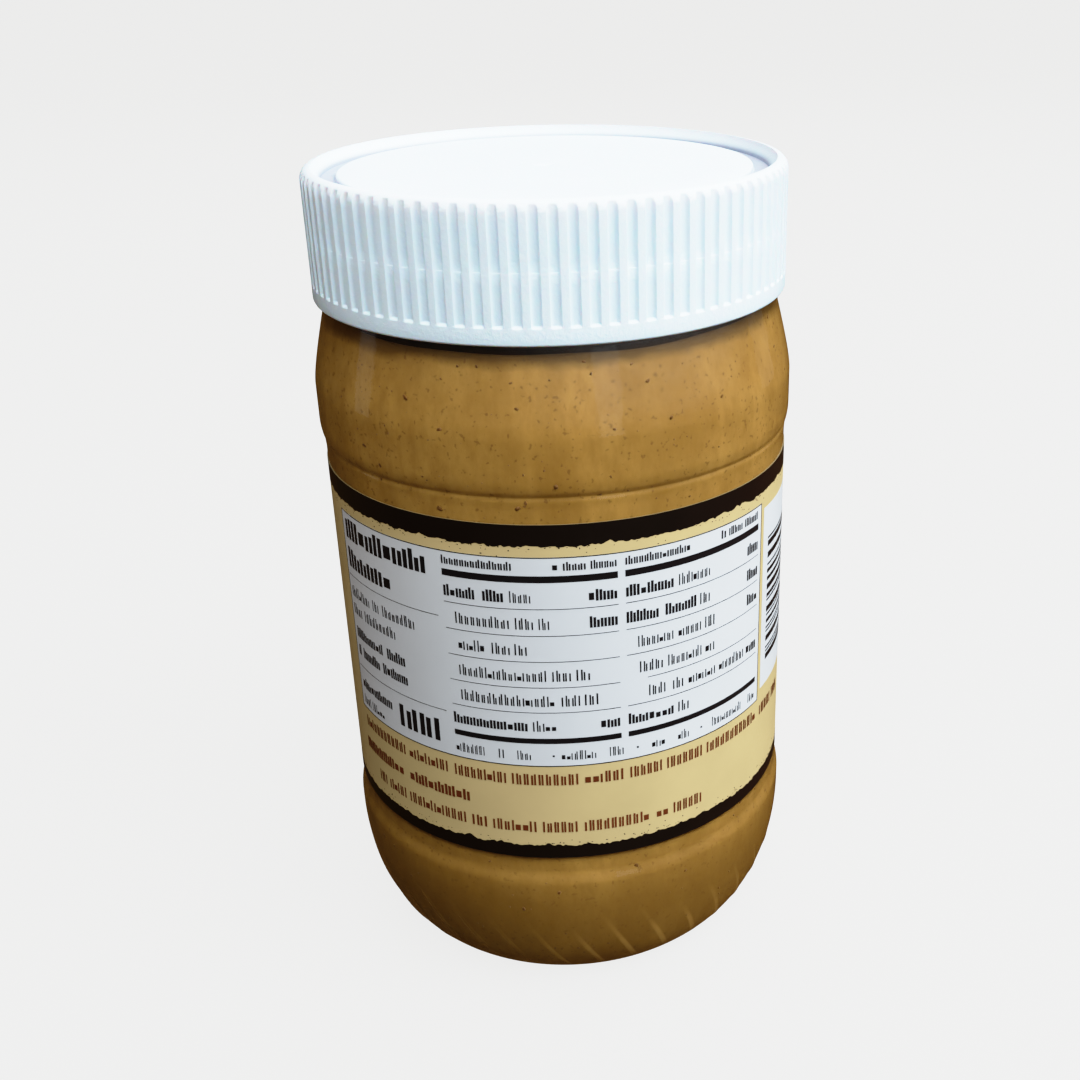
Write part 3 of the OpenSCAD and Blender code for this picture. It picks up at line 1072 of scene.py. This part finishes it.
def print_bands(bands):
    """The dark bands at the label's top and bottom, each with a torn edge and small flecks off it."""
    s = bpy.context.scene.jar_label
    low, high = LABEL_LOW[2] / MM, LABEL_HIGH[2] / MM
    top_edge = high - s.top_band / MM
    low_edge = low + s.low_band / MM
    tear = s.tear / MM
    half_turn = math.pi * (panel_radius() + s.thickness) / MM
    along = np.linspace(-half_turn, half_turn, 1800) + s.lap / 2 / MM
    bands.strip(along, top_edge + torn_edge(along, 1, tear) - tear, high - 0.03)
    bands.strip(along, low + 0.02, low_edge + torn_edge(along, 2, tear))
    flecks = np.random.default_rng(8)
    for place in flecks.uniform(-half_turn, half_turn, 260):
        wide, tall = flecks.uniform(0.06, 0.28), flecks.uniform(0.06, 0.17)
        below = top_edge - 0.35 - flecks.exponential(0.35)
        above = low_edge + 0.3 + flecks.exponential(0.3)
        bands.bar(place, place + wide, below - tall, below)
        bands.bar(-place, wide - place, above, above + tall)


class JAR_OT_label(bpy.types.Operator):
    """Make the paper label, with its lap at the back, and print it in thin layers of ink"""
    bl_idname = "jar.make_label"
    bl_label = "Label and print"

    def execute(self, context):
        f = context.scene.jar_finishes
        paper = paper_material("Cream paper", f.paper, 0.86, 0.6, edge_share=0.35)
        sheet = new_piece(label_sheet_mesh(), paper)
        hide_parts("label")

        styles = {name: PrintStyle(*values) for name, values in PRINT_STYLES.items()}
        bands, dark, white = Ink("print_bands", 1), Ink("print_field", 1), Ink("print_white", 1)
        black, pale, brown = Ink("print_black", 2), Ink("print_pale", 2), Ink("print_brown", 3)
        print_bands(bands)
        print_panel(white, black, styles)
        print_lines(brown, styles, BROWN_LINES)
        print_ladder(white, black)
        print_front(dark, pale, brown, styles)
        warm_dark = paper_material("Dark ink", f.dark, 1.6, 0.6, 0.38)
        bands.finish(warm_dark)
        dark.finish(warm_dark)
        white.finish(paper_material("White ink", f.panel, 0.94))
        black.finish(paper_material("Black ink", f.black, 1.5, 0.4))
        brown.finish(paper_material("Brown ink", f.brown, 1.4, 0.6))
        pale.finish(paper_material("Cream ink", f.paper, 0.9))
        return {"FINISHED"}


# ---------------------------------------------------------------- the cap

def cap_outline():
    """The cap's half section without its ribs, from the underside's middle round to the disc's middle."""
    s = bpy.context.scene.jar_cap
    outer, low, top = CAP_HIGH[0], CAP_LOW[2], CAP_HIGH[2]
    inner = outer - s.rib_depth - s.skirt
    crest = outer - s.rim_round
    groove = crest - s.rim_slope
    disc = groove - s.groove
    disc_z = top - s.disc_drop
    groove_z = disc_z - s.groove_depth
    under = groove_z - s.top
    fillet = 0.25 * MM
    disc_round = 0.3 * MM
    ribs_low, ribs_full = low + s.band - 0.15 * MM, low + s.band + 0.45 * MM
    step_low, step_high = low + s.parting - 0.06 * MM, low + s.parting + 0.06 * MM
    gate, middle = 2.4 * MM, 0.3 * MM
    return np.concatenate([
        np.array([(0.4 * MM, under), (inner * 0.5, under), (inner - fillet, under)]),
        between((inner, under - fillet), (inner, low + fillet), 3),
        ellipse_arc((inner + fillet, low + fillet), fillet, fillet, 180, 270, 3),
        ellipse_arc((outer - s.edge, low + s.edge), s.edge, s.edge, -90, 0, 5),
        between((outer, low + s.edge), (outer, ribs_low), 2),
        between((outer, ribs_low), (outer, ribs_full), 7),
        between((outer, ribs_full), (outer, step_low), 4),
        between((outer, step_low), (outer, step_high), 3),
        between((outer, step_high), (outer, top - s.rim_round), 5),
        ellipse_arc((crest, top - s.rim_round), s.rim_round, s.rim_round, 4, 90, 16),
        soft_step((crest, top), (groove, groove_z), 9),
        between((groove, groove_z), (disc + 0.2 * MM, groove_z), 2),
        ellipse_arc((disc - 0.1 * MM, disc_z - disc_round), disc_round, disc_round, 0, 90, 4),
        between((disc - 0.2 * MM, disc_z), (gate, disc_z), 6),
        between((gate, disc_z), (middle, disc_z), 6),
    ])


def hollow_floor(height, phases):
    """Radius of the floor of the hollows between the ribs, which are scooped out of the outer radius.

    Phases run from 0 in the middle of a hollow to 1 in the next one's. The scoop is a high power of the
    distance from the hollow's middle, softened where it meets the crest; below the parting line it is
    shallower, and at the plain band it ends.
    """
    s = bpy.context.scene.jar_cap
    away = np.tile(2 * np.minimum(phases, 1 - phases), s.ribs)
    scoop = 1 - (away / (1 - s.crest)) ** 5
    scoop = (scoop + np.sqrt(scoop ** 2 + 0.01)) / 2
    band, parting = CAP_LOW[2] + s.band, CAP_LOW[2] + s.parting
    ledge = smooth(band - 0.1 * MM, band + 0.3 * MM, height)
    deeper = smooth(parting - 0.05 * MM, parting + 0.05 * MM, height)
    return CAP_HIGH[0] - (s.rib_depth - s.parting_step * (1 - deeper)) * scoop * ledge


class JAR_OT_cap(bpy.types.Operator):
    """Make the screw cap: hollow inside, ribbed skirt, raised rim, groove and middle disc"""
    bl_idname = "jar.make_cap"
    bl_label = "Ribbed cap"

    def execute(self, context):
        s = context.scene.jar_cap
        outline = cap_outline()
        wall_steps = np.array([0.35, 0.65, 0.83, 0.93, 1.03]) * (1 - s.crest) / 2
        phases = np.concatenate([[0], wall_steps, [0.5], 1 - wall_steps[::-1]])
        pitch = 2 * math.pi / s.ribs
        angles = FRONT + s.turn + ((np.arange(s.ribs)[:, None] + phases) * pitch).ravel()
        radius, height = carried_round(outline, angles)
        above_band = height > CAP_LOW[2] + s.band - 0.2 * MM
        outside = above_band & (radius > CAP_HIGH[0] - s.rim_round)
        radius = np.where(outside, np.minimum(radius, hollow_floor(height, phases)), radius)
        on_disc = height > CAP_HIGH[2] - s.disc_drop - 0.01 * MM
        gate = (radius < 3 * MM) & on_disc
        height = height - gate * 0.28 * MM * np.exp(-(radius / (1.1 * MM)) ** 2)
        cap = new_piece(revolve("ribbed_cap", radius, height, angles, 46), cap_material())
        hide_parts("cap")
        return {"FINISHED"}


# ---------------------------------------------------------------- the stage

# Light and the tone that it is shown as, below and above the straight middle stretch.
TONES = ((0.01, 0.0045), (0.03, 0.021), (0.07, 0.061), (0.15, 0.146), (0.3, 0.3), (0.6, 0.6),
         (0.8, 0.750), (1.0, 0.838), (1.3, 0.905), (1.8, 0.950), (2.6, 0.980))

# Square soft lights: name, degrees round from the front to the right, degrees up, side and watts.
SOFT_LIGHTS = (
    ("key", 60, 45, 0.6, 11.8),
    ("front_right", 12, 54, 0.6, 10.6),
    ("front_left", -25, 30, 0.6, 0.8),
    ("right", 75, 15, 0.6, 1.6),
    ("back_right", 120, 45, 0.6, 5.0),
    ("back", 182, 35, 0.6, 3.5),
    ("overhead", 20, 89, 0.7, 1.2),
)

# Upright lights that only gloss shows: name, degrees round from the front to the right, width and watts.
STREAK_LIGHTS = (
    ("streak_front", 24, 0.22, 0.15),
    ("streak_left", -98, 0.22, 0.09),
    ("streak_right", 117, 0.30, 0.06),
)


def soft_highlights(settings):
    """Bends the brightest tones over, so that the white cap keeps its shading, and deepens the darkest."""
    settings.view_transform = "Standard"
    settings.use_curve_mapping = True
    mapping = settings.curve_mapping
    mapping.clip_max_x = 4.0
    tones = mapping.curves[3]
    tones.points[1].location = (4.0, 1.0)
    for light, shown in TONES:
        tones.points.new(light, shown)
    mapping.update()


def soft_light(name, round_from_front, rise, width, height, power, away_by=1.1, aim_height=0.07,
               tint=(0.93, 1.0, 1.06)):
    """A soft light, placed by degrees round from the front to the right, and up; it isn't mirrored."""
    aim = Vector((0, 0, aim_height))
    turn, rise = math.radians(round_from_front) + FRONT, math.radians(rise)
    away = Vector((math.cos(turn) * math.cos(rise), math.sin(turn) * math.cos(rise), math.sin(rise)))
    lamp = bpy.data.lights.new(name, "AREA")
    lamp.shape = "RECTANGLE"
    lamp.size = width
    lamp.size_y = height
    lamp.energy = power
    lamp.color = tint
    holder = bpy.data.objects.new(name, lamp)
    holder.location = aim + away_by * away
    holder.rotation_euler = (-away).to_track_quat("-Z", "Y").to_euler()
    holder.visible_glossy = False
    holder.visible_camera = False
    bpy.context.scene.collection.objects.link(holder)
    return holder


def all_lights():
    """The soft lights, a small warm one close to the cap's left, and the streaks in the clear wall."""
    for name, round_from_front, rise, side, power in SOFT_LIGHTS:
        soft_light(name, round_from_front, rise, side, side, power)
    soft_light("near_left", -55, 33, 0.10, 0.10, 0.066, away_by=0.17, aim_height=0.130,
               tint=(1.16, 0.97, 0.84))
    for name, round_from_front, width, power in STREAK_LIGHTS:
        holder = soft_light(name, round_from_front, 4, width, 0.5, power)
        holder.visible_glossy = True
        holder.visible_diffuse = False


def room_light():
    """The room: pale above on the right, warm and dim below; plain pale where the camera looks."""
    world = bpy.data.worlds.new("Studio")
    bpy.context.scene.world = world
    world.use_nodes = True
    tree = world.node_tree
    place = add_node(tree, "TexCoord", {})
    split = add_node(tree, "SeparateXYZ", {0: place.outputs["Generated"]})
    side = add_range(tree, split.outputs["X"], -0.45, 0.9)
    low = add_mix(tree, side, shade((0.050, 0.025, 0.008)), shade((0.080, 0.036, 0.010)))
    high = add_mix(tree, side, shade((0.10, 0.10, 0.10)), shade((0.99, 1.0, 1.0)))
    room = add_mix(tree, add_range(tree, split.outputs["Z"], -0.03, 0.40), low, high)
    rays = add_node(tree, "LightPath", {})
    seen = add_mix(tree, rays.outputs["Is Camera Ray"], room, shade((0.66, 0.66, 0.65)))
    background = tree.nodes["Background"]
    background.inputs["Strength"].default_value = 1.6
    tree.links.new(seen, background.inputs["Color"])


def pale_floor():
    """A plain pale floor that glows evenly and lights nothing."""
    half = 8.0
    mesh = bpy.data.meshes.new("floor")
    mesh.from_pydata([(-half, -half, 0), (half, -half, 0), (half, half, 0), (-half, half, 0)], [],
                     [(0, 1, 2, 3)])
    floor = bpy.data.objects.new("floor", mesh)
    bpy.context.scene.collection.objects.link(floor)
    material = new_material("Pale floor", Base_Color=shade((0.07, 0.07, 0.069)), Roughness=1.0,
                            Specular_IOR_Level=0.0, Emission_Color=shade((1.0, 1.0, 0.985)),
                            Emission_Strength=0.95)[0]
    floor.data.materials.append(material)
    floor.visible_diffuse = False
    floor.visible_glossy = False
    floor.visible_transmission = False


def camera_view():
    """The camera: in front, above the cap's height, tipped down and turned a little to the right."""
    lens = bpy.data.cameras.new("camera")
    lens.sensor_width = 36
    lens.lens = 45.03
    lens.shift_x = -0.1011
    lens.clip_start = 0.01
    lens.clip_end = 100
    camera = bpy.data.objects.new("camera", lens)
    pitch, yaw, roll = math.radians(24.50), math.radians(4.05), math.radians(-0.73)
    turn = (Matrix.Rotation(-yaw, 4, "Z") @ Matrix.Rotation(math.pi / 2 - pitch, 4, "X")
            @ Matrix.Rotation(roll, 4, "Z"))
    camera.matrix_world = Matrix.Translation((0, -0.20729, 0.16050)) @ turn
    bpy.context.scene.collection.objects.link(camera)
    bpy.context.scene.camera = camera


class JAR_OT_stage(bpy.types.Operator):
    """Make the plain pale floor, the soft lights and the camera"""
    bl_idname = "jar.make_stage"
    bl_label = "Stage"

    def execute(self, context):
        soft_highlights(context.scene.view_settings)
        pale_floor()
        room_light()
        all_lights()
        camera_view()
        return {"FINISHED"}


class JAR_PT_panel(bpy.types.Panel):
    """Lists the sizes and the steps of the jar"""
    bl_label = "Peanut butter jar"
    bl_idname = "JAR_PT_panel"
    bl_space_type = "VIEW_3D"
    bl_region_type = "UI"
    bl_category = "Jar"

    def draw(self, context):
        for group in (context.scene.jar_sizes, context.scene.jar_label, context.scene.jar_cap,
                      context.scene.jar_finishes):
            box = self.layout.box()
            for name in group.__annotations__:
                box.prop(group, name)
        for step in STEPS:
            self.layout.operator(step.bl_idname)


STEPS = (JAR_OT_stage, JAR_OT_groups, JAR_OT_shell, JAR_OT_filling, JAR_OT_oil_and_shade_film,
         JAR_OT_specks, JAR_OT_label, JAR_OT_cap)
GROUPS = {"jar_sizes": JarSizes, "jar_label": LabelSizes, "jar_cap": CapSizes, "jar_finishes": Finishes}
CLASSES = (*GROUPS.values(), *STEPS, JAR_PT_panel)


def register():
    """Registers the classes and hangs the settings on the scene."""
    for item in CLASSES:
        bpy.utils.register_class(item)
    for name, group in GROUPS.items():
        setattr(bpy.types.Scene, name, PointerProperty(type=group))


def unregister():
    """Takes the settings and the classes away again."""
    for name in GROUPS:
        delattr(bpy.types.Scene, name)
    for item in reversed(CLASSES):
        bpy.utils.unregister_class(item)


def main():
    """Makes the stage and every piece in order."""
    register()
    bpy.ops.jar.make_stage()
    bpy.ops.jar.make_groups()
    bpy.ops.jar.make_shell()
    bpy.ops.jar.make_filling()
    bpy.ops.jar.make_oil_film()
    bpy.ops.jar.make_specks()
    bpy.ops.jar.make_label()
    bpy.ops.jar.make_cap()


if __name__ == "__main__":
    main()
